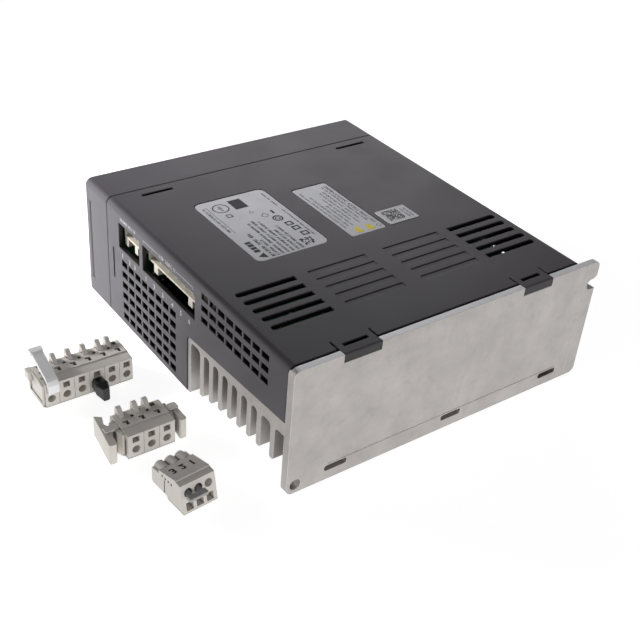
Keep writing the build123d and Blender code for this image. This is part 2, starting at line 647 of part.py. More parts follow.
upper_face, lower_face = down(3.0), low_end + 3.0

with BuildPart() as regen_header:
    header_shroud(36.9, 17.6, ((37.2, 40.5), (47.3, 50.4)), poles_about(45.7, 2, regen_pitch), upper_face, -1)
regen_header.part.label = "regen_header"
export_step(regen_header.part, "parts/regen_header.step")

with BuildPart() as regen_pins:
    header_pins(poles_about(45.7, 3, regen_pitch), upper_face, -1)
regen_pins.part.label = "regen_pins"
export_step(regen_pins.part, "parts/regen_pins.step")

with BuildPart() as power_header:
    header_shroud(61.2, 46.0, ((66.4, 70.4), (98.6, 102.4)), poles_about(84.2, 5, pole_pitch), upper_face, -1)
power_header.part.label = "power_header"
export_step(power_header.part, "parts/power_header.step")

with BuildPart() as power_pins:
    header_pins(poles_about(84.2, 6, pole_pitch), upper_face, -1)
power_pins.part.label = "power_pins"
export_step(power_pins.part, "parts/power_pins.step")

with BuildPart() as motor_header:
    header_shroud(62.8, 23.6, ((65.2, 68.4), (80.8, 84.0)), poles_about(74.6, 2, pole_pitch), lower_face, 1)
motor_header.part.label = "motor_header"
export_step(motor_header.part, "parts/motor_header.step")

with BuildPart() as motor_pins:
    header_pins(poles_about(74.6, 3, pole_pitch), lower_face, 1)
motor_pins.part.label = "motor_pins"
export_step(motor_pins.part, "parts/motor_pins.step")

# ---------------------------------------------------------------- fan
fan_low = down(fan_down + fan_deep)
hub_radius = 13.0
blade_reach = 27.2

with BuildPart() as fan_frame:
    with BuildSketch(Plane.YZ.offset(fan_low)) as fan_outline:
        with Locations((back(fan_back), 0)):
            RectangleRounded(fan_size, fan_size, 4.0)
            Circle(fan_bore, mode=Mode.SUBTRACT)
            with GridLocations(50.0, 50.0, 2, 2):
                Circle(2.1, mode=Mode.SUBTRACT)
    extrude(fan_outline.sketch, amount=fan_deep)
    # motor carrier on three struts, on the side away from the grille
    with BuildSketch(Plane.YZ.offset(fan_low + fan_deep - 2.4)) as carrier:
        with Locations((back(fan_back), 0)):
            Circle(hub_radius)
            with PolarLocations(21.0, 3, start_angle=30):
                Rectangle(17.0, 3.0)
    extrude(carrier.sketch, amount=2.4)
    rod((fan_low + 5.0, back(fan_back), 0), (fan_low + fan_deep, back(fan_back), 0), 4.0)
    rod((fan_low + 4.0, back(fan_back), 0), (fan_low + fan_deep - 1.5, back(fan_back), 0), 1.55,
        mode=Mode.SUBTRACT)
fan_frame.part.label = "fan_frame"
export_step(fan_frame.part, "parts/fan_frame.step")

with BuildPart() as fan_rotor:
    rod((fan_low + 1.2, back(fan_back), 0), (fan_low + 11.8, back(fan_back), 0), hub_radius)
    rod((fan_low + 2.8, back(fan_back), 0), (fan_low + 12.8, back(fan_back), 0), hub_radius - 1.4,
        mode=Mode.SUBTRACT)
    rod((fan_low + 2.0, back(fan_back), 0), (fan_low + 13.0, back(fan_back), 0), 1.5)
    for blade in range(7):
        turn = blade * 360 / 7
        root = Plane(origin=(fan_low + 6.5, back(fan_back), 0), x_dir=(1, 0, 0),
                     z_dir=(0, math.cos(math.radians(turn)), math.sin(math.radians(turn))))
        with BuildSketch(root.offset(hub_radius - 0.6)) as blade_root:
            Rectangle(9.6, 1.3, rotation=34)
        with BuildSketch(root.offset(blade_reach)) as blade_tip:
            Rectangle(11.0, 1.0, rotation=52)
        loft([blade_root.sketch.face(), blade_tip.sketch.face()])
fan_rotor.part.label = "fan_rotor"
export_step(fan_rotor.part, "parts/fan_rotor.step")

with BuildPart() as fan_screws:
    for side_y in (-25.0, 25.0):
        for side_z in (-25.0, 25.0):
            y = back(fan_back) + side_y
            rod((fan_low + 1.0, y, side_z), (fan_low + fan_deep + 1.2, y, side_z), 1.6)
            rod((fan_low + fan_deep, y, side_z), (fan_low + fan_deep + 2.0, y, side_z), 3.0)
fan_screws.part.label = "fan_screws"
export_step(fan_screws.part, "parts/fan_screws.step")

# ---------------------------------------------------------------- earth screws and labels
with BuildPart() as earth_screws:
    for height in earth_heights:
        # cross-head screw with a captive washer
        x, z = down(earth_down), up(height)
        rod((x, -plate_thick - 0.8, z), (x, -1.0, z), m4_radius)
        rod((x, -plate_thick - 0.8, z), (x, -plate_thick, z), 4.2)
        rod((x, -plate_thick - 3.6, z), (x, -plate_thick - 0.8, z), 3.6)
        for half_x, half_z in ((2.4, 0.5), (0.5, 2.4)):
            block((x - half_x, x + half_x), (-plate_thick - 4.6, -plate_thick - 2.4),
                  (z - half_z, z + half_z),
                  mode=Mode.SUBTRACT)
earth_screws.part.label = "earth_screws"
export_step(earth_screws.part, "parts/earth_screws.step")

with BuildPart() as rating_label:
    label_sheet(rating_place, width - label_deep, label_thick)
rating_label.part.label = "rating_label"
export_step(rating_label.part, "parts/rating_label.step")

with BuildPart() as notice_label:
    label_sheet(notice_place, width - label_deep, label_thick)
notice_label.part.label = "notice_label"
export_step(notice_label.part, "parts/notice_label.step")

with BuildPart() as code_label:
    label_sheet(code_place, width, label_thick)
code_label.part.label = "code_label"
export_step(code_label.part, "parts/code_label.step")

# ---------------------------------------------------------------- loose pluggable connectors
cage_deep = 17.0               # wire face to contact face
prong_width, prong_rise = 2.1, 3.4
panel_deep = 0.45


def panel_outline(front):
    """(Y, Z) outline of the shallow recess in the end plate of a plug with this wire face."""
    rear = front - cage_deep
    return [(back(front - 1.6), up(1.6)), (back(front - 1.6), up(9.6)), (back(front - 5.2), up(11.6)),
            (back(rear + 2.4), up(11.6)), (back(rear + 1.8), up(1.6))]


def cage_body(middle, poles, front, length, prongs):
    """Body of a cage-clamp plug lying with its wire entries towards +Y.

    middle is its centre beyond the drive's upper end, front is its wire face behind the drive's front face.
    prongs are offsets of the rear coding prongs from its centre.
    """
    rear = front - cage_deep
    x_low, x_high = beyond(middle - length / 2), beyond(middle + length / 2)
    prism_x([(back(front), up(0)), (back(front), up(12.5)), (back(front - 5.2), up(13.2)),
             (back(front - 5.2), up(13.5)), (back(rear + 2.0), up(13.5)), (back(rear), up(12.0)),
             (back(rear), up(1.2)), (back(rear + 1.2), up(0))], x_low, x_high)
    for offset in prongs:
        x = beyond(middle + offset)
        top = 13.5 + prong_rise
        prism_x([(back(rear), up(9.0)), (back(rear), up(top - 0.7)), (back(rear + 0.7), up(top)),
                 (back(rear + 2.0), up(top)), (back(rear + 2.8), up(top - 0.6)), (back(rear + 5.6), up(13.5)),
                 (back(rear + 5.6), up(12.0))], x - prong_width / 2, x + prong_width / 2)
    for place in poles_about(middle, poles, pole_pitch):
        x = beyond(place)
        block((x - 2.7, x + 2.7), (back(rear) - 1, back(rear + 8.8)), (up(1.6), up(10.6)), mode=Mode.SUBTRACT)
        rod((x, back(front) + 1, up(4.3)), (x, back(rear + 7.8), up(4.3)), 1.9, mode=Mode.SUBTRACT)
        block((x - 1.6, x + 1.6), (back(rear + 7.8), back(front) + 1), (up(8.2), up(11.2)),
              mode=Mode.SUBTRACT)
        # release slot, its side notch and the test hole on top
        block((x - 0.8, x + 0.8), (back(front - 9.5), back(front - 6.4)), (up(9.0), up(14)),
              mode=Mode.SUBTRACT)
        block((x - 0.8, x + 1.7), (back(front - 9.5), back(front - 8.2)), (up(12.2), up(14)),
              mode=Mode.SUBTRACT)
        rod((x, back(rear + 3.4), up(9.5)), (x, back(rear + 3.4), up(14)), 1.25, mode=Mode.SUBTRACT)
    for seam in poles_about(middle, poles - 1, pole_pitch):
        x = beyond(seam)
        block((x - 0.06, x + 0.06), (back(front - 0.2), back(front) + 1), (up(-1), up(13)),
              mode=Mode.SUBTRACT)
        block((x - 0.7, x + 0.7), (back(rear + 5.3), back(rear + 6.7)), (up(11.6), up(14)),
              mode=Mode.SUBTRACT)
    # shallow recess in each end plate
    for low, high in ((x_low - 1, x_low + panel_deep), (x_high - panel_deep, x_high + 1)):
        prism_x(panel_outline(front), low, high, mode=Mode.SUBTRACT)


def cage_clamps(middle, poles, front):
    """Spring-cage contacts, one bent metal box in each chamber."""
    rear = front - cage_deep
    for place in poles_about(middle, poles, pole_pitch):
        x = beyond(place)
        block((x - 2.4, x + 2.4), (back(rear + 0.6), back(rear + 8.0)), (up(1.6), up(9.6)))
        block((x - 1.7, x + 1.7), (back(rear) - 1, back(rear + 9)), (up(2.3), up(8.9)), mode=Mode.SUBTRACT)


power_plug_middle, power_plug_front = 39.3, 82.3
power_plug_length = 43.4
plate_end = beyond(power_plug_middle + power_plug_length / 2)

with BuildPart() as power_plug_body:
    cage_body(power_plug_middle, 6, power_plug_front, power_plug_length, (-15.9, -11.1, -3.7, 3.8, 11.2))
    # separate end plate beside the lever, with an ear at its rear
    prism_x([(back(81.4), up(0)), (back(81.4), up(11.6)), (back(77.4), up(12.6)), (back(65.6), up(12.6)),
             (back(65.3), up(12.2)), (back(65.3), up(1.2)), (back(66.5), up(0))], plate_end, plate_end + 1.0)
    prism_x(panel_outline(power_plug_front), plate_end + 0.4, plate_end + 2, mode=Mode.SUBTRACT)
    block((plate_end + 0.3, plate_end + 2.5), (back(65.3), back(69.8)), (up(8.0), up(12.4)))
power_plug_body.part.label = "power_plug_body"
export_step(power_plug_body.part, "parts/power_plug_body.step")

with BuildPart() as power_plug_clamps:
    cage_clamps(power_plug_middle, 6, power_plug_front)
power_plug_clamps.part.label = "power_plug_clamps"
export_step(power_plug_clamps.part, "parts/power_plug_clamps.step")

lever_middle = beyond(57.4)
tongue_middle = beyond(power_plug_middle + 2.5 * pole_pitch)
with BuildPart() as power_plug_lever:
    arm = [(back(82.6), up(7.6)), (back(84.0), up(8.2)), (back(84.2), up(12.6)), (back(83.2), up(14.6)),
           (back(81.6), up(15.8)), (back(66.4), up(20.8)), (back(64.2), up(20.8)), (back(64.2), up(19.2)),
           (back(66.0), up(18.6)), (back(81.0), up(13.9)), (back(82.5), up(12.9))]
    prism_x(arm, lever_middle - 2.6, lever_middle + 2.6)
    block((lever_middle - 3.1, lever_middle + 3.1), (back(63.6), back(66.6)), (up(18.7), up(21.1)))
    uprights = power_plug_lever.edges().filter_by(Axis.Z)
    fillet(uprights.filter_by(lambda e: abs(e.center().X - lever_middle) > 3.0), 0.5)
    block((tongue_middle - 1.1, tongue_middle + 1.1), (back(80.8), back(83.2)), (up(9.0), up(10.2)))
power_plug_lever.part.label = "power_plug_lever"
export_step(power_plug_lever.part, "parts/power_plug_lever.step")

stopper_middle = beyond(power_plug_middle - pole_pitch / 2)
with BuildPart() as blanking_plug:
    rod((stopper_middle, back(75.0), up(4.3)), (stopper_middle, back(82.6), up(4.3)), 1.8)
    with BuildSketch(across_plane(back(82.4))) as grip_root:
        with Locations((stopper_middle, up(4.6))):
            RectangleRounded(5.6, 6.4, 1.8)
    with BuildSketch(across_plane(back(87.0))) as grip_middle:
        with Locations((stopper_middle, up(4.5))):
            RectangleRounded(6.2, 7.4, 1.6)
    with BuildSketch(across_plane(back(91.6))) as grip_end:
        with Locations((stopper_middle, up(4.0))):
            RectangleRounded(3.2, 7.0, 0.8)
    loft([grip_root.sketch.face(), grip_middle.sketch.face(), grip_end.sketch.face()], ruled=True)
blanking_plug.part.label = "blanking_plug"
export_step(blanking_plug.part, "parts/blanking_plug.step")

motor_plug_middle, motor_plug_front = 33.9, 132.0
motor_plug_length = 22.8

with BuildPart() as motor_plug_body:
    cage_body(motor_plug_middle, 3, motor_plug_front, motor_plug_length, (-4.6, 0.6, 8.0))
motor_plug_body.part.label = "motor_plug_body"
export_step(motor_plug_body.part, "parts/motor_plug_body.step")

with BuildPart() as motor_plug_clamps:
    cage_clamps(motor_plug_middle, 3, motor_plug_front)
motor_plug_clamps.part.label = "motor_plug_clamps"
export_step(motor_plug_clamps.part, "parts/motor_plug_clamps.step")

latch_pivot_back = 123.0
latch_pin_radius = 1.0
latch_low, latch_high = 1.0, 11.6
# side: (piece, bracket's reach, pivot's distance, plan as (distance, place)), distances out from the flank
latch_forms = {
    1: ("motor_plug_left_latch", 2.4, 5.0,
        [(6.0, 111.2), (6.6, 116.0), (7.0, 119.3), (8.6, 131.6), (8.2, 132.5), (5.6, 132.6), (5.0, 131.8),
         (4.6, 127.5), (3.3, 124.6), (3.2, 121.4), (4.4, 118.0), (2.9, 113.4)]),
    -1: ("motor_plug_right_latch", 1.9, 4.1,
         [(2.8, 119.6), (5.4, 119.6), (5.7, 131.8), (5.2, 132.7), (2.6, 132.7), (2.2, 131.8), (2.7, 127.0)]),
}


def out_from(side, distance):
    """X of a point this far outside the motor plug's flank. side is +1 at its +X end and -1 at the other."""
    return beyond(motor_plug_middle) + side * (motor_plug_length / 2 + distance)


for side, (latch_name, reach, pivot_out, latch_plan) in latch_forms.items():
    with BuildPart() as latch:
        with BuildSketch(Plane.XY.offset(up(latch_low))) as plan:
            with BuildLine():
                Polyline(*[(out_from(side, distance), back(place)) for distance, place in latch_plan],
                         close=True)
            make_face()
        extrude(plan.sketch, amount=latch_high - latch_low)
        rod((out_from(side, pivot_out), back(latch_pivot_back), up(0)),
            (out_from(side, pivot_out), back(latch_pivot_back), up(13)), latch_pin_radius + 0.05,
            mode=Mode.SUBTRACT)
    latch.part.label = latch_name
    export_step(latch.part, f"parts/{latch_name}.step")

with BuildPart() as latch_brackets:
    for side, (latch_name, reach, pivot_out, latch_plan) in latch_forms.items():
        # block on the flank with a bevelled front, and a lug above and below the latch
        with BuildSketch(Plane.XY.offset(up(0.6))) as bracket:
            with BuildLine():
                Polyline(*[(out_from(side, distance), back(place)) for distance, place in
                           ((0, 119.0), (reach, 119.0), (reach, 126.6), (reach - 1.2, 129.6), (0, 129.6))],
                         close=True)
            make_face()
        extrude(bracket.sketch, amount=11.6)
        block((out_from(side, reach - 0.8), out_from(side, reach + 0.2)), (back(120.4), back(125.2)),
              (up(2.2), up(10.4)), mode=Mode.SUBTRACT)
        for low, high in ((0.0, latch_low - 0.2), (latch_high + 0.2, 12.8)):
            block((out_from(side, 0), out_from(side, pivot_out + 1.6)), (back(121.2), back(124.8)),
                  (up(low), up(high)))
        rod((out_from(side, pivot_out), back(latch_pivot_back), up(0.4)),
            (out_from(side, pivot_out), back(latch_pivot_back), up(12.4)), latch_pin_radius)
latch_brackets.part.label = "latch_brackets"
export_step(latch_brackets.part, "parts/latch_brackets.step")

regen_plug_middle, regen_plug_front, regen_plug_rear = 33.2, 173.0, 149.5
regen_plug_width = 16.9
regen_flank = beyond(regen_plug_middle + regen_plug_width / 2)
regen_poles = poles_about(regen_plug_middle, 3, regen_pitch)
# this plug lies slightly askew
regen_axis = Axis((beyond(regen_plug_middle), back(regen_plug_front), 0), (0, 0, 1))
regen_askew = 5

with BuildPart() as regen_plug_upright:
    outline = [(back(regen_plug_front), up(0)), (back(170.0), up(13.4)), (back(167.0), up(13.7)),
               (back(166.5), up(14.2)), (back(154.6), up(11.4)), (back(154.6), up(9.7)),
               (back(regen_plug_rear), up(9.3)), (back(regen_plug_rear), up(2.3)), (back(150.4), up(1.5)),
               (back(160.4), up(1.6)), (back(161.6), up(0))]
    prism_x(outline, beyond(regen_plug_middle - regen_plug_width / 2), regen_flank)
    for place in regen_poles:
        x = beyond(place)
        rod((x, back(regen_plug_rear), up(8.6)), (x, back(155.0), up(9.2)), 2.45)
        block((x - 1.7, x + 1.7), (back(regen_plug_rear) - 1, back(161.0)), (up(2.8), up(8.0)),
              mode=Mode.SUBTRACT)
        rod((x, back(160.0), up(9.4)), (x, back(175.0), up(9.4)), 1.9, mode=Mode.SUBTRACT)
        block((x - 1.7, x + 1.7), (back(162.4), back(175.0)), (up(1.1), up(4.9)), mode=Mode.SUBTRACT)
    # row of little vents along one end's upper edge, and a bevelled guide below them
    for notch in range(4):
        y = back(157.2 + notch * 2.2)
        block((regen_flank - 0.4, regen_flank + 1), (y - 0.4, y + 0.4), (up(9.4), up(10.6)),
              mode=Mode.SUBTRACT)
    block((regen_flank - 0.3, regen_flank + 1), (back(158.5), back(159.3)), (up(2.0), up(8.6)),
          mode=Mode.SUBTRACT)
regen_plug_body = regen_plug_upright.part.rotate(regen_axis, regen_askew)
regen_plug_body.label = "regen_plug_body"
export_step(regen_plug_body, "parts/regen_plug_body.step")

with BuildPart() as regen_clamps_upright:
    for place in regen_poles:
        x = beyond(place)
        block((x - 1.5, x + 1.5), (back(regen_plug_rear + 0.6), back(160.0)), (up(2.9), up(7.8)))
        block((x - 1.0, x + 1.0), (back(regen_plug_rear) - 1, back(161)), (up(3.4), up(7.3)),
              mode=Mode.SUBTRACT)
regen_plug_clamps = regen_clamps_upright.part.rotate(regen_axis, regen_askew)
regen_plug_clamps.label = "regen_plug_clamps"
export_step(regen_plug_clamps, "parts/regen_plug_clamps.step")

with BuildPart() as jumper_upright:
    for place in regen_poles[1:]:
        x = beyond(place)
        block((x - 1.1, x + 1.1), (back(164.0), back(173.6)), (up(8.3), up(9.5)))
    block((beyond(regen_poles[1] - 1.9), beyond(regen_poles[2] + 1.9)), (back(172.8), back(175.6)),
          (up(8.0), up(9.8)))
    fillet(jumper_upright.edges().filter_by(Axis.X).filter_by(lambda e: e.center().Y > back(175.5)), 0.5)
jumper_bridge = jumper_upright.part.rotate(regen_axis, regen_askew)
jumper_bridge.label = "jumper_bridge"
export_step(jumper_bridge, "parts/jumper_bridge.step")
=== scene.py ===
import json
import math
import random

import bmesh
import bpy
from mathutils import Matrix, Vector


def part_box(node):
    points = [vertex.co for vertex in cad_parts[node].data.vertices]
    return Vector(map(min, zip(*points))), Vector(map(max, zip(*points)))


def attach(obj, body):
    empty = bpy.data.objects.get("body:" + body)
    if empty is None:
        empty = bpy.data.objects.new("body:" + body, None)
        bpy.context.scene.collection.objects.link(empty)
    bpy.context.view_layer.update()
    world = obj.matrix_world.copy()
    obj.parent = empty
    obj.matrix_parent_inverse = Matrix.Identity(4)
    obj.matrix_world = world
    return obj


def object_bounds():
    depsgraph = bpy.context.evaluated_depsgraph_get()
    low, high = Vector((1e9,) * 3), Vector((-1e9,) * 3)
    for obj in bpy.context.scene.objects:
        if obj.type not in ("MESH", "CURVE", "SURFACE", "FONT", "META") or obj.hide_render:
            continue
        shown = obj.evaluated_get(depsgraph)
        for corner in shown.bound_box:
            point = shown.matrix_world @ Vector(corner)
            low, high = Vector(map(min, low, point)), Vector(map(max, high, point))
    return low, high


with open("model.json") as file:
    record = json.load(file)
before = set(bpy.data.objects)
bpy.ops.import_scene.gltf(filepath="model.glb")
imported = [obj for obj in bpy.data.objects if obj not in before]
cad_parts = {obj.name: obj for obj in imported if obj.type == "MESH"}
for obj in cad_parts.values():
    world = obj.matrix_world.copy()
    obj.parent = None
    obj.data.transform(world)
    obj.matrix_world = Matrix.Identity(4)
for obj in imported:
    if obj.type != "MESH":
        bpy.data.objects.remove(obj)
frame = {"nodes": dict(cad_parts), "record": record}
cad_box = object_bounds()
nodes = frame["nodes"]
MM = 0.001

# ---------------------------------------------------------------- places in the shared frame
shell_low, shell_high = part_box("front_shell")
TOP_END = shell_high.x
FRONT = shell_low.y
FLOOR = shell_low.z
SHELL_ROUND = 3.6 * MM        # radius along the housing's edges


def down(distance):
    """X of a point this many millimetres below the drive's upper end face."""
    return TOP_END - distance * MM


def back(distance):
    """Y of a point this many millimetres behind the front face."""
    return FRONT + distance * MM


def up(height):
    """Z of a point this many millimetres above the floor."""
    return FLOOR + height * MM


# ---------------------------------------------------------------- procedural materials
def scaled(colour, factor):
    """Colour this many times as bright."""
    return tuple(channel * factor for channel in colour)


def capped(colour):
    """Colour with no channel above 1."""
    return tuple(min(1.0, channel) for channel in colour)


class Look:
    """One procedural material, built node by node round a Principled shader."""

    def __init__(self, name, **constants):
        self.material = bpy.data.materials.new(name)
        self.material.use_nodes = True
        self.tree = self.material.node_tree
        self.shader = self.tree.nodes["Principled BSDF"]
        for key, value in constants.items():
            self.shader.inputs[key.replace("_", " ")].default_value = value
        self.coords = self.node("ShaderNodeTexCoord").outputs["Object"]

    def node(self, kind, settings=None, **inputs):
        made = self.tree.nodes.new(kind)
        for key, value in (settings or {}).items():
            setattr(made, key, value)
        for key, value in inputs.items():
            self.feed(made.inputs[key.replace("_", " ")], value)
        return made

    def feed(self, socket, value):
        if isinstance(value, bpy.types.NodeSocket):
            self.tree.links.new(value, socket)
        elif isinstance(value, tuple) and len(value) == 3 and socket.type == "RGBA":
            socket.default_value = (*value, 1)
        else:
            socket.default_value = value

    def stretched(self, scale, turn=(0, 0, 0)):
        """Object coordinates scaled along each axis and turned."""
        mapped = self.node("ShaderNodeMapping", Vector=self.coords, Scale=scale, Rotation=turn)
        return mapped.outputs["Vector"]

    def noise(self, scale, detail=4.0, roughness=0.55, vector=None):
        made = self.node("ShaderNodeTexNoise", Vector=vector or self.coords, Scale=scale, Detail=detail,
                         Roughness=roughness)
        return made.outputs[0]

    def ramp(self, factor, low, high):
        """Factor spread so that low becomes 0 and high becomes 1."""
        made = self.node("ShaderNodeMapRange", Value=factor, From_Min=low, From_Max=high)
        return made.outputs[0]

    def between(self, factor, low, high):
        """Number between two others."""
        made = self.node("ShaderNodeMapRange", Value=factor, To_Min=low, To_Max=high)
        return made.outputs[0]

    def mix(self, factor, first, second):
        made = self.tree.nodes.new("ShaderNodeMix")
        made.data_type = "RGBA"
        self.feed(made.inputs[0], factor)
        self.feed(made.inputs[6], first)
        self.feed(made.inputs[7], second)
        return made.outputs[2]

    def math(self, operation, first, second):
        made = self.node("ShaderNodeMath", {"operation": operation})
        self.feed(made.inputs[0], first)
        self.feed(made.inputs[1], second)
        return made.outputs[0]

    def share(self, factor, amount):
        """Part of a factor."""
        return self.math("MULTIPLY", factor, amount)

    def blended(self, first, first_share, second, second_share):
        """Weighted sum of two factors."""
        return self.math("ADD", self.share(first, first_share), self.share(second, second_share))

    def vector(self, operation, first, second=None):
        made = self.node("ShaderNodeVectorMath", {"operation": operation})
        self.feed(made.inputs[0], first)
        if second is not None:
            self.feed(made.inputs[1], second)
        return made.outputs["Value" if operation in ("LENGTH", "DOT_PRODUCT") else "Vector"]

    def component(self, vector, axis):
        made = self.node("ShaderNodeSeparateXYZ")
        self.feed(made.inputs[0], vector)
        return made.outputs[axis]

    def normal(self):
        """Normal of the plain surface."""
        return self.node("ShaderNodeNewGeometry").outputs["Normal"]

    def rounded(self, radius):
        """Normal with this radius on every edge, and a mask of those edges."""
        bevel = self.node("ShaderNodeBevel", {"samples": 4}, Radius=radius).outputs[0]
        return bevel, self.ramp(self.vector("DOT_PRODUCT", bevel, self.normal()), low=0.985, high=0.86)

    def inside_drive(self, near, deep):
        """0 on the drive's outer faces and 1 more than deep millimetres inside them."""
        centre = (shell_low + shell_high) / 2
        half = (shell_high - shell_low) / 2 - Vector((SHELL_ROUND, 0, SHELL_ROUND))
        centred = self.vector("SUBTRACT", self.coords, (centre.x, 0, centre.z))
        past = self.vector("SUBTRACT", self.vector("ABSOLUTE", centred),
                           (half.x, -FRONT - SHELL_ROUND, half.z))
        reach = self.vector("LENGTH", self.vector("MAXIMUM", past, (0, 0, 0)))
        return self.ramp(reach, SHELL_ROUND - near * MM, SHELL_ROUND - deep * MM)

    def bump(self, height, strength, distance, normal=None):
        made = self.node("ShaderNodeBump", Height=height, Strength=strength, Distance=distance)
        if normal is not None:
            self.feed(made.inputs["Normal"], normal)
        return made.outputs[0]

    def finish(self, colour, roughness, normal):
        self.feed(self.shader.inputs["Base Color"], colour)
        self.feed(self.shader.inputs["Roughness"], roughness)
        self.feed(self.shader.inputs["Normal"], normal)
        return self.material


def moulded(name, dark, light, rough, edge=0.35, edge_colour=None, grain_depth=0.25, worn=0.45, inside_shade=None,
            hole_shade=None):
    """Moulded plastic: soft cloudiness, fine eroded grain, faint scuffs and lighter worn edges.

    edge is the edges' radius in millimetres and worn how far they go to edge_colour. The last two arguments are
    painted shade colours: the first inside the drive, the second deep in small holes.
    """
    look = Look(name)
    cloud = look.ramp(look.noise(scale=38.0, detail=5.0), low=0.36, high=0.66)
    grain = look.noise(scale=1500.0, detail=3.0, roughness=0.6)
    scuff = look.noise(scale=55.0, detail=8.0, roughness=0.75,
                       vector=look.stretched((1.0, 7.0, 1.0), turn=(0.3, 0.2, 0.5)))
    normal, edges = look.rounded(edge * MM)
    colour = look.mix(cloud, dark, light)
    colour = look.mix(look.between(grain, 0.0, 0.22), colour, scaled(light, 1.5))
    colour = look.mix(look.share(look.ramp(scuff, low=0.66, high=0.8), 0.14), colour, capped(scaled(light, 1.8)))
    colour = look.mix(look.share(edges, worn), colour, edge_colour or capped(scaled(light, 1.7)))
    # painted shade: a near-black colour deeper inside the drive's openings, where light does not reach
    if inside_shade is not None:
        colour = look.mix(look.inside_drive(near=0.35, deep=0.7), colour, inside_shade)
    # painted shade: ambient occlusion turns the colour dark deep in small holes
    if hole_shade is not None:
        openness = look.node("ShaderNodeAmbientOcclusion", {"samples": 8}, Distance=2.5 * MM).outputs["AO"]
        colour = look.mix(look.ramp(openness, low=0.72, high=0.3), colour, hole_shade)
    roughness = look.between(look.blended(cloud, 0.5, grain, 0.5), rough - 0.07, rough + 0.09)
    return look.finish(colour, roughness, look.bump(grain, grain_depth, 0.05 * MM, normal))


def cast(name, dark, light, rough, fin_shade=None, rim_and_highlight=None):
    """Tumbled aluminium casting: blotchy oxide stains, pitting, fine scratches and bright rubbed edges.

    The argument after rough sets painted shade: how much darker it gets further into the drive from the upper end.
    The last is the colour of the sheared face along the mounting plate's labelled edge, plus a painted highlight.
    """
    rubbed, scratched, fin_shade_colour = (0.86, 0.845, 0.83), (0.86, 0.84, 0.82), (0.02, 0.018, 0.016)
    look = Look(name, Metallic=0.82)
    blotch = look.ramp(look.noise(scale=48.0, detail=9.0, roughness=0.68), low=0.34, high=0.68)
    stain = look.ramp(look.noise(scale=120.0, detail=6.0, roughness=0.7), low=0.52, high=0.72)
    grain = look.noise(scale=1300.0, detail=4.0, roughness=0.7)
    normal, edges = look.rounded(0.45 * MM)
    colour = look.mix(blotch, dark, light)
    colour = look.mix(look.share(stain, 0.35), colour, scaled(dark, 0.72))
    colour = look.mix(look.between(grain, 0.0, 0.3), colour, capped(scaled(light, 1.25)))
    for turn, cover in (((0.2, 0.35, 0.1), 0.74), ((1.1, 0.5, 0.9), 0.77)):
        lines = look.noise(scale=26.0, detail=7.0, roughness=0.62, vector=look.stretched((1.0, 1.0, 46.0), turn))
        colour = look.mix(look.share(look.ramp(lines, cover, cover + 0.06), 0.5), colour, scratched)
    # painted shade: darker and darker further into the drive from the upper end
    if fin_shade is not None:
        fin_shade_mask = look.ramp(look.component(look.coords, "X"), down(0.9), down(16.0))
        colour = look.mix(look.share(fin_shade_mask, fin_shade), colour, fin_shade_colour)
    # sheared edge plus a painted highlight: the plate's upward-facing top edge turned near white
    if rim_and_highlight is not None:
        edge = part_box("mounting_plate")[1].z
        facing = look.ramp(look.component(look.normal(), "Z"), low=0.6, high=0.9)
        topmost = look.ramp(look.component(look.coords, "Z"), edge - 0.4 * MM, edge - 0.2 * MM)
        colour = look.mix(look.math("MULTIPLY", facing, topmost), colour, rim_and_highlight)
    colour = look.mix(look.share(edges, 0.7), colour, rubbed)
    cells = look.node("ShaderNodeTexVoronoi", Vector=look.coords, Scale=240.0).outputs["Distance"]
    height = look.blended(grain, 0.6, look.ramp(cells, low=0.0, high=0.12), 0.25)
    roughness = look.between(look.blended(blotch, 0.6, grain, 0.4), rough - 0.1, rough + 0.12)
    return look.finish(colour, roughness, look.bump(height, 0.3, 0.06 * MM, normal))


def metal(name, colour, rough, along=(1.0, 1.0, 30.0)):
    """Plated sheet or turned metal with fine drawn lines and dull patches. along is the stretch of the lines."""
    look = Look(name, Metallic=1.0)
    lines = look.noise(scale=900.0, detail=3.0, roughness=0.6, vector=look.stretched(along))
    patch = look.ramp(look.noise(scale=160.0, detail=5.0), low=0.35, high=0.7)
    normal, edges = look.rounded(0.15 * MM)
    shade = look.mix(look.share(patch, 0.5), colour, scaled(colour, 0.7))
    shade = look.mix(look.share(edges, 0.6), shade, capped(scaled(colour, 1.3)))
    roughness = look.between(look.blended(lines, 0.5, patch, 0.5), rough - 0.1, rough + 0.15)
    return look.finish(shade, roughness, look.bump(lines, 0.15, 0.02 * MM, normal))


def film(name, dark, light, rough):
    """Matt printed label film with a slight orange-peel surface."""
    look = Look(name)
    cloud = look.ramp(look.noise(scale=70.0, detail=5.0), low=0.35, high=0.68)
    fibre = look.noise(scale=2200.0, detail=2.0)
    colour = look.mix(cloud, dark, light)
    colour = look.mix(look.between(fibre, 0.0, 0.12), colour, scaled(dark, 0.8))
    roughness = look.between(cloud, rough - 0.05, rough + 0.08)
    return look.finish(colour, roughness, look.bump(fibre, 0.08, 0.02 * MM))


def ink(name, colour):
    """Screen print, slightly uneven in density."""
    look = Look(name)
    density = look.ramp(look.noise(scale=1400.0, detail=3.0), low=0.3, high=0.62)
    shade = look.mix(density, scaled(colour, 0.75), colour)
    return look.finish(shade, look.between(density, 0.5, 0.65), look.bump(density, 0.1, 0.01 * MM))


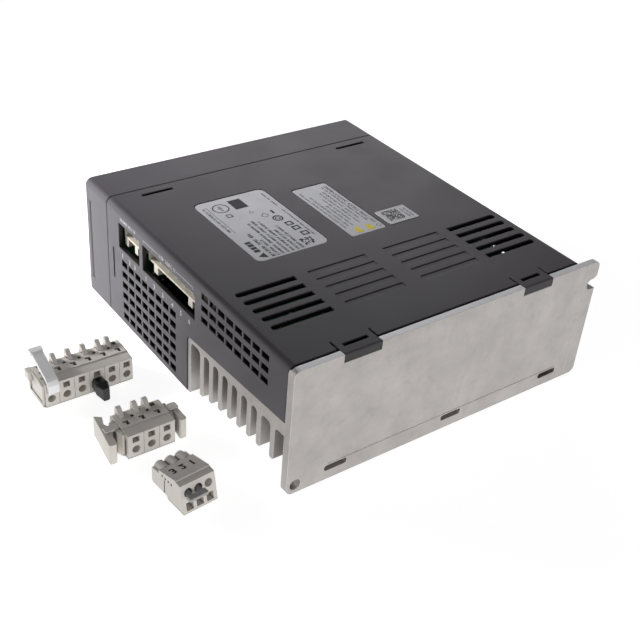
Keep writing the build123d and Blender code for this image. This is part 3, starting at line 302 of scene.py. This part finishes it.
def pane(name, colour, rough):
    """Tinted clear plastic with a few hairline scratches."""
    look = Look(name, Transmission_Weight=0.75, IOR=1.49)
    lines = look.noise(scale=40.0, detail=6.0, roughness=0.6,
                       vector=look.stretched((1.0, 1.0, 60.0), turn=(0.2, 0.7, 0.3)))
    lines = look.ramp(lines, low=0.72, high=0.8)
    dust = look.noise(scale=600.0, detail=4.0)
    shade = look.mix(look.between(dust, 0.0, 0.12), colour, capped(channel + 0.25 for channel in colour))
    roughness = look.between(look.math("MAXIMUM", lines, look.share(dust, 0.3)), rough, rough + 0.3)
    return look.finish(shade, roughness, look.bump(lines, 0.1, 0.01 * MM))


def laminate(name, mask, copper):
    """Circuit board: solder mask over a grid of tracks and pads."""
    look = Look(name, Coat_Weight=0.3)
    tracks = look.node("ShaderNodeTexBrick", Vector=look.coords, Scale=170.0, Mortar_Size=0.09).outputs["Fac"]
    pads = look.node("ShaderNodeTexVoronoi", Vector=look.coords, Scale=210.0).outputs["Distance"]
    colour = look.mix(look.noise(scale=60.0), mask, scaled(mask, 1.6))
    colour = look.mix(look.share(tracks, 0.5), colour, scaled(mask, 2.2))
    colour = look.mix(look.ramp(pads, low=0.2, high=0.16), colour, copper)
    return look.finish(colour, look.between(tracks, 0.35, 0.5), look.bump(tracks, 0.3, 0.04 * MM))


PLASTICS = {
    # the near-black colours for the inside of the drive are painted shade
    "housing_plastic": dict(dark=(0.043, 0.038, 0.046), light=(0.053, 0.048, 0.056), rough=0.46, worn=0.0,
                            inside_shade=(0.006, 0.006, 0.006)),
    "shell_plastic": dict(dark=(0.047, 0.042, 0.050), light=(0.057, 0.052, 0.060), rough=0.46, worn=0.0,
                          inside_shade=(0.008, 0.008, 0.008)),
    "lid_plastic": dict(dark=(0.047, 0.042, 0.050), light=(0.057, 0.052, 0.060), rough=0.46, worn=0.1),
    # its dark colour for deep holes is painted shade
    "plug_plastic": dict(dark=(0.61, 0.575, 0.53), light=(0.69, 0.655, 0.61), rough=0.5, edge=0.3,
                         edge_colour=(0.80, 0.77, 0.72), grain_depth=0.15, hole_shade=(0.07, 0.06, 0.05)),
    "latch_plastic": dict(dark=(0.64, 0.605, 0.545), light=(0.72, 0.685, 0.625), rough=0.42, edge=0.3,
                          edge_colour=(0.82, 0.79, 0.73), grain_depth=0.1),
    "lever_nylon": dict(dark=(0.86, 0.86, 0.86), light=(0.92, 0.92, 0.92), rough=0.35, edge=0.3,
                        edge_colour=(0.93, 0.93, 0.94), grain_depth=0.1),
    "jumper_plastic": dict(dark=(0.32, 0.31, 0.30), light=(0.38, 0.37, 0.36), rough=0.5, grain_depth=0.15),
    "black_gloss": dict(dark=(0.010, 0.010, 0.012), light=(0.014, 0.014, 0.016), rough=0.24,
                        edge_colour=(0.05, 0.05, 0.05), grain_depth=0.08),
    "header_plastic": dict(dark=(0.40, 0.375, 0.32), light=(0.47, 0.44, 0.38), rough=0.45,
                           edge_colour=(0.56, 0.53, 0.46), grain_depth=0.12),
    "key_rubber": dict(dark=(0.12, 0.12, 0.125), light=(0.15, 0.15, 0.155), rough=0.62),
    "black_plastic": dict(dark=(0.018, 0.018, 0.019), light=(0.026, 0.026, 0.027), rough=0.42,
                          edge_colour=(0.09, 0.09, 0.09)),
    "thermal_silicone": dict(dark=(0.28, 0.28, 0.31), light=(0.34, 0.34, 0.37), rough=0.7),
    "capacitor_sleeve": dict(dark=(0.012, 0.016, 0.035), light=(0.018, 0.022, 0.045), rough=0.25),
    "ferrite": dict(dark=(0.07, 0.07, 0.075), light=(0.10, 0.10, 0.105), rough=0.7),
    "relay_plastic": dict(dark=(0.03, 0.08, 0.22), light=(0.04, 0.10, 0.26), rough=0.3),
}
METALS = {
    "tinned_metal": dict(colour=(0.75, 0.74, 0.72), rough=0.32),
    "spring_steel": dict(colour=(0.42, 0.38, 0.32), rough=0.4),
    "plated_steel": dict(colour=(0.68, 0.68, 0.66), rough=0.35, along=(1.0, 12.0, 1.0)),
}
PANES = {
    "lid_pane": dict(colour=(0.20, 0.20, 0.22), rough=0.08),
    "display_pane": dict(colour=(0.22, 0.03, 0.03), rough=0.06),
    "lamp_lens": dict(colour=(0.7, 0.08, 0.04), rough=0.12),
}
CASTING = dict(dark=(0.36, 0.338, 0.322), light=(0.52, 0.495, 0.475), rough=0.5)

LOOKS = {
    # near-white top edge of the plate: a sheared face plus a painted highlight
    "cast_aluminium": cast("cast_aluminium", rim_and_highlight=(0.92, 0.92, 0.93), **CASTING),
    "label_film": film("label_film", dark=(0.42, 0.42, 0.445), light=(0.48, 0.48, 0.505), rough=0.5),
    "board_laminate": laminate("board_laminate", mask=(0.012, 0.075, 0.035), copper=(0.55, 0.52, 0.46)),
}
for make, table in ((moulded, PLASTICS), (metal, METALS), (pane, PANES)):
    LOOKS.update((name, make(name, **settings)) for name, settings in table.items())
for part in frame["record"]["subparts"]:
    nodes[part["node"]].data.materials.clear()
    nodes[part["node"]].data.materials.append(LOOKS[part["material_slot"]])
# the heatsink's casting, with painted shade further into the drive from the upper end
nodes["heatsink"].data.materials[0] = cast("fin_casting", fin_shade=0.85, **CASTING)

LABEL_INK = ink("label_ink", (0.028, 0.028, 0.032))
SOFT_INK = ink("soft_ink", (0.07, 0.07, 0.075))
YELLOW_INK = ink("yellow_ink", (0.62, 0.52, 0.05))
SILK_WHITE = ink("silk_white", (0.56, 0.56, 0.56))
PLUG_INK = ink("plug_ink", (0.012, 0.012, 0.012))


# ---------------------------------------------------------------- mesh helpers
PRINT_LOW, PRINT_HIGH = 0.005, 0.03       # the film of ink, in millimetres above its surface
DIGIT_MIDDLE, DIGIT_HALF = 0.022, 0.02    # middle and half the thickness of a raised digit


def placed(name, data):
    """New object in the scene."""
    made = bpy.data.objects.new(name, data)
    bpy.context.scene.collection.objects.link(made)
    return made


def meshed(name, bm, look):
    """New object from a bmesh, which is freed."""
    mesh = bpy.data.meshes.new(name)
    bm.to_mesh(mesh)
    bm.free()
    mesh.materials.append(look)
    return placed(name, mesh)


def piece(name, bm, body, look):
    """Turns a bmesh into a piece of the visual model."""
    made = meshed(name, bm, look)
    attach(made, body)


def printed(name, outlines, place, body, look):
    """Printed marks: flat outlines raised into thin solid films. place turns (u, v, height) in mm into the frame."""
    bm = bmesh.new()
    for outline in outlines:
        low = [bm.verts.new(place(u, v, PRINT_LOW)) for u, v in outline]
        high = [bm.verts.new(place(u, v, PRINT_HIGH)) for u, v in outline]
        bm.faces.new(high)
        bm.faces.new(low[::-1])
        for i in range(len(low)):
            j = (i + 1) % len(low)
            bm.faces.new((low[i], low[j], high[j], high[i]))
    bmesh.ops.recalc_face_normals(bm, faces=bm.faces)
    piece(name, bm, body, look)


def digits(name, text, place, size, body, look, bold=0.0):
    """Raised digits: each (string, u, v) is set in the built-in face and laid on the surface."""
    bm = bmesh.new()
    for string, u, v in text:
        face = bpy.data.curves.new(name, "FONT")
        face.body = string
        face.size = size
        face.extrude = DIGIT_HALF
        face.offset = bold
        face.resolution_u = 4
        holder = bpy.data.objects.new(name, face)
        mesh = bpy.data.meshes.new_from_object(holder)
        start = len(bm.verts)
        bm.from_mesh(mesh)
        bm.verts.ensure_lookup_table()
        for vertex in bm.verts[start:]:
            x, y, z = vertex.co
            vertex.co = place(u + x, v + y, z + DIGIT_MIDDLE)
        bpy.data.objects.remove(holder)
        bpy.data.curves.remove(face)
        bpy.data.meshes.remove(mesh)
    bmesh.ops.recalc_face_normals(bm, faces=bm.faces)
    piece(name, bm, body, look)


# ---------------------------------------------------------------- printed marks, in millimetres
def bar(u, v, wide, tall):
    """Solid rectangle."""
    return [(u, v), (u + wide, v), (u + wide, v + tall), (u, v + tall)]


def hollow(u, v, wide, tall, stroke):
    """Outline of a rectangle, as four bars."""
    return [bar(u, v, stroke, tall), bar(u, v, wide, stroke), bar(u, v + tall - stroke, wide, stroke),
            bar(u + wide - stroke, v, stroke, tall)]


def ring(u, v, radius, wide, steps=28):
    """Circle of short quads, or with few steps a triangle or a diamond."""
    made = []
    for i in range(steps):
        a, b = (2 * math.pi * k / steps for k in (i, i + 1))
        made.append([(u + r * math.cos(t), v + r * math.sin(t))
                     for r, t in ((radius, a), (radius, b), (radius - wide, b), (radius - wide, a))])
    return made


def greeked(rng, u, v, length, tall, stroke):
    """A row of letter-like ticks with no meaning, in word-length groups."""
    letter_gap, word_gap = tall * 0.22, tall * 0.55
    made = []
    at = u
    while at < u + length - tall * 0.6:
        for _ in range(rng.randint(3, 8)):
            wide = tall * rng.uniform(0.45, 0.7)
            if at + wide > u + length:
                break
            made.append(bar(at, v, stroke, tall))
            kind = rng.random()
            if kind < 0.45:
                height = rng.choice((0.0, 0.5)) * (tall - stroke)
                made.append(bar(at + stroke, v + height, wide - stroke * 1.6, stroke))
            if kind > 0.3:
                made.append(bar(at + wide - stroke, v, stroke * 0.9, tall * rng.uniform(0.5, 1.0)))
            at += wide + letter_gap
        at += word_gap
    return made


def code_block(rng, u, v, cells, size):
    """Square of random dots."""
    step = size / cells
    dot = step * 0.96
    return [bar(u + i * step, v + j * step, dot, dot)
            for i in range(cells) for j in range(cells) if rng.random() < 0.5]


# ---------------------------------------------------------------- labels
def on_label(node):
    """Places label-local millimetres: u runs from the plate side forwards, v from the upper end downwards."""
    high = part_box(node)[1]
    return lambda u, v, h: (high.x - v * MM, high.y - u * MM, high.z + h * MM)


rng = random.Random(5)      # the marks, and then the leads, draw from it in this order
rating = on_label("rating_label")
rating_left, rating_top, rating_pitch = 1.4, 8.4, 2.75
rating_rows = [(23.0, 1.9, 0.42), (17.0, 1.6, 0.32)]      # (length, height, stroke)
rating_rows += [(length, 1.5, 0.3) for length in (31.0, 33.0, 31.0, 21.0, 24.0)]
# heading: a rule, a triangle and four blocks
marks = [bar(27.0, 4.6, 28.0, 0.22), [(1.6, 6.6), (6.2, 6.6), (3.9, 2.6)]]
marks += [bar(u, 3.2, wide, 3.0) for u, wide in ((7.6, 2.2), (10.4, 2.0), (13.0, 2.2), (15.8, 1.8))]
# rows below the heading, and one over the rule
for row, (length, tall, stroke) in enumerate(rating_rows):
    marks += greeked(rng, rating_left, rating_top + row * rating_pitch, length, tall, stroke)
marks += greeked(rng, 29.0, 2.2, 26.0, 1.4, 0.26)
# a dark block, and plain shapes in the places of the small signs
marks += [bar(46.6, 17.2, 9.2, 7.0)]
marks += ring(50.9, 10.9, 4.3, 0.6) + greeked(rng, 48.7, 9.9, 4.6, 1.9, 0.35)
marks += hollow(41.2, 9.4, 3.0, 3.0, 0.5)
marks += ring(41.2, 22.2, 1.6, 0.35, steps=3) + ring(35.4, 26.4, 2.1, 0.35, steps=4) + [bar(35.2, 31.0, 3.2, 1.2)]
marks += ring(30.2, 30.4, 2.7, 0.8) + ring(30.2, 30.4, 1.4, 0.5, steps=16)
# square of dots, three small frames, and two rows at the foot
marks += code_block(rng, 2.4, 27.8, cells=9, size=6.2)
for u, v in ((10.6, 32.0), (16.6, 31.0), (21.6, 30.4)):
    marks += hollow(u, v, 3.6, 4.0, 0.8)
marks += greeked(rng, 9.0, 36.8, 28.0, 0.9, 0.14) + greeked(rng, 41.0, 36.6, 15.0, 1.1, 0.16)
printed("rating_print", marks, rating, "drive", LABEL_INK)

notice = on_label("notice_label")
notice_top, notice_pitch, notice_tall, notice_stroke = 1.6, 2.35, 1.15, 0.17
notice_rows = ((8.0, 40.0), (9.5, 33.0), (9.0, 22.0), (14.0, 24.0), (10.0, 33.0), (14.0, 30.0), (10.0, 38.0))
marks = []
for row, (start, length) in enumerate(notice_rows):
    marks += greeked(rng, start, notice_top + row * notice_pitch, length, notice_tall, notice_stroke)
printed("notice_print", marks, notice, "drive", SOFT_INK)
marks = greeked(rng, 6.5, 17.6, 42.0, 1.7, 0.26) + ring(3.2, 18.3, 1.2, 0.22, steps=18)
printed("notice_heading", marks, notice, "drive", LABEL_INK)
marks = [[(1.6, v), (6.4, v + 0.9), (6.4, v + 3.1), (1.6, v + 4.0)] for v in (4.6, 11.4)]
printed("notice_accents", marks, notice, "drive", YELLOW_INK)

code = on_label("code_label")
marks = code_block(rng, 2.2, 2.4, cells=21, size=9.6)
marks += greeked(rng, 2.0, 13.4, 9.6, 1.0, 0.16) + greeked(rng, 2.0, 15.4, 9.0, 0.9, 0.14)
printed("code_print", marks, code, "drive", LABEL_INK)


# ---------------------------------------------------------------- white print on the upper end
def on_end(u, v, h):
    """u millimetres behind the front face and v above the floor, on the upper end face."""
    return (TOP_END + h * MM, back(u), up(v))


# two brackets round the terminals' heading, then the heading and the words beside it
marks = [bar(61.5, 60.2, 14.5, 0.2), bar(61.5, 58.9, 0.2, 1.5), bar(93.0, 60.2, 14.8, 0.2),
         bar(107.6, 58.9, 0.2, 1.5)]
marks += greeked(rng, 77.2, 59.2, 15.0, 2.0, 0.26)
marks += greeked(rng, 38.5, 59.4, 15.5, 1.7, 0.24)
printed("end_print", marks, on_end, "drive", SILK_WHITE)

digit_foot = 39.3
terminals = [("1", 38.8), ("2", 46.2), ("3", 51.5), ("1", 62.9), ("2", 71.0), ("3", 79.2), ("4", 88.4),
             ("5", 96.2), ("6", 103.8)]
digits("terminal_numbers", [(digit, u, digit_foot) for digit, u in terminals], on_end, 3.6, "drive", SILK_WHITE)

# ---------------------------------------------------------------- leads seen through the power window
LEAD_COUNT, LEAD_HEIGHT = 34, 57.3        # cut ends of component leads under the power board
leads = bmesh.new()
for _ in range(LEAD_COUNT):
    at = (down(rng.uniform(9.0, 24.0)), back(rng.uniform(74.0, 107.0)), up(LEAD_HEIGHT))
    bmesh.ops.create_cone(leads, cap_ends=True, segments=10, radius1=0.75 * MM, radius2=0.3 * MM, depth=1.4 * MM,
                          matrix=Matrix.Translation(at) @ Matrix.Rotation(math.pi, 4, "X"))
piece("lead_ends", leads, "drive", LOOKS["tinned_metal"])

# ---------------------------------------------------------------- numbers on the small plug
# its sloping top, and the point that the plug is turned about
DECK_FRONT, DECK_REAR = (166.5, 14.2), (154.6, 11.4)      # (behind the front face, above the floor)
DECK_SLOPE = (DECK_FRONT[1] - DECK_REAR[1]) / (DECK_FRONT[0] - DECK_REAR[0])
PLUG_MIDDLE, PLUG_FRONT = 33.2, 173.0                     # (beyond the upper end, behind the front face)
ASKEW = Matrix.Rotation(math.radians(5), 3, "Z")


def on_plug(u, v, h):
    """On the small plug's top: u millimetres from its middle towards -X, v forwards from the top's rear edge."""
    pivot = Vector((TOP_END + PLUG_MIDDLE * MM, back(PLUG_FRONT), 0))
    point = Vector((-u * MM, (DECK_REAR[0] + v - PLUG_FRONT) * MM, 0))
    return pivot + ASKEW @ point + Vector((0, 0, up(DECK_REAR[1] + v * DECK_SLOPE + h)))


digits("plug_numbers", [("3", -6.2, 3.4), ("2", -1.5, 3.4), ("1", 3.2, 3.4)], on_plug, 5.4, "regen_plug", PLUG_INK,
       bold=0.16)

# ---------------------------------------------------------------- floor
FLOOR_HALF, FLOOR_CELLS = 6.0, 24         # metres from the middle to an edge
FLOOR_GAP = 0.02 * MM                     # under the lowest piece
paper = Look("floor_paper", Emission_Color=(1, 1, 1, 1), Emission_Strength=0.86)
paper_tone = paper.mix(paper.ramp(paper.noise(scale=3.0), low=0.4, high=0.6), (0.50, 0.50, 0.50),
                       (0.52, 0.52, 0.52))
paper.finish(paper_tone, paper.between(paper.noise(scale=40.0), 0.85, 0.95),
             paper.bump(paper.noise(scale=900.0), 0.05, 0.05 * MM))
floor_bm = bmesh.new()
bmesh.ops.create_grid(floor_bm, x_segments=FLOOR_CELLS, y_segments=FLOOR_CELLS, size=FLOOR_HALF)
floor = meshed("floor", floor_bm, paper.material)
floor.location = (0, 0, cad_box[0].z - FLOOR_GAP)

# ---------------------------------------------------------------- light
HORIZON, ZENITH = (1.0, 1.0, 1.0, 1), (0.15, 0.15, 0.155, 1)
ZENITH_FROM = 0.32                        # upward part of a direction above which the sky is plain zenith

world = bpy.data.worlds.new("studio")
bpy.context.scene.world = world
world.use_nodes = True
sky = world.node_tree
direction = sky.nodes.new("ShaderNodeTexCoord")
upward = sky.nodes.new("ShaderNodeSeparateXYZ")
fade = sky.nodes.new("ShaderNodeValToRGB")
for stop, position, tone in zip(fade.color_ramp.elements, (0.0, ZENITH_FROM), (HORIZON, ZENITH)):
    stop.position = position
    stop.color = tone
sky.links.new(direction.outputs["Generated"], upward.inputs[0])
sky.links.new(upward.outputs["Z"], fade.inputs[0])
sky.links.new(fade.outputs[0], sky.nodes["Background"].inputs["Color"])


def light(name, kind, at, aim, power):
    """Light at a point, turned towards another."""
    made = placed(name, bpy.data.lights.new(name, kind))
    made.data.energy = power
    made.location = at
    made.rotation_euler = (Vector(aim) - Vector(at)).to_track_quat("-Z", "Y").to_euler()
    return made


SOFTBOXES = (       # (name, place, aim, side in metres, watts)
    ("key", (0.31, -0.41, 0.12), (0.09, -0.17, 0.0), 0.24, 0.35),
    ("plate_fill", (0.15, 1.1, 0.2), (0.0, 0.0, 0.0), 0.7, 4.0),
    ("top_fill", (-0.75, -1.1, 0.45), (0.0, -0.15, 0.0), 0.7, 1.9),
)
for name, at, aim, side, power in SOFTBOXES:
    softbox = light(name, "AREA", at, aim, power).data
    softbox.shape = "SQUARE"
    softbox.size = side

# a soft-edged beam on the front end of the upper end face, with no glare on glossy faces
beam = light("beam", "SPOT", at=(0.36, -0.46, 0.16), aim=(0.015, -0.20, 0.0), power=28.0)
beam.data.spot_size = math.radians(42)
beam.data.spot_blend = 1.0
beam.data.shadow_soft_size = 0.06
beam.visible_glossy = False

# ---------------------------------------------------------------- camera, solved from the drive's own edges
FOCAL_PIXELS, IMAGE_WIDTH, SENSOR_WIDTH = 1052.4, 640, 36.0
CAMERA_PLACE = (0.28260, 0.25831, 0.27756)
IMAGE_RIGHT = Vector((-0.81118, 0.58013, 0.07376))
IMAGE_DOWN = Vector((0.27759, 0.49299, -0.82456))
AHEAD = Vector((-0.51471, -0.64839, -0.56094))

lens = bpy.data.cameras.new("camera")
lens.sensor_width = SENSOR_WIDTH
lens.lens = SENSOR_WIDTH * FOCAL_PIXELS / IMAGE_WIDTH
lens.clip_start = 0.01
camera = placed("camera", lens)
turn = Matrix((IMAGE_RIGHT, -IMAGE_DOWN, -AHEAD)).transposed().to_4x4()
camera.matrix_world = Matrix.Translation(CAMERA_PLACE) @ turn
bpy.context.scene.camera = camera
bpy.context.scene.view_settings.view_transform = "Standard"
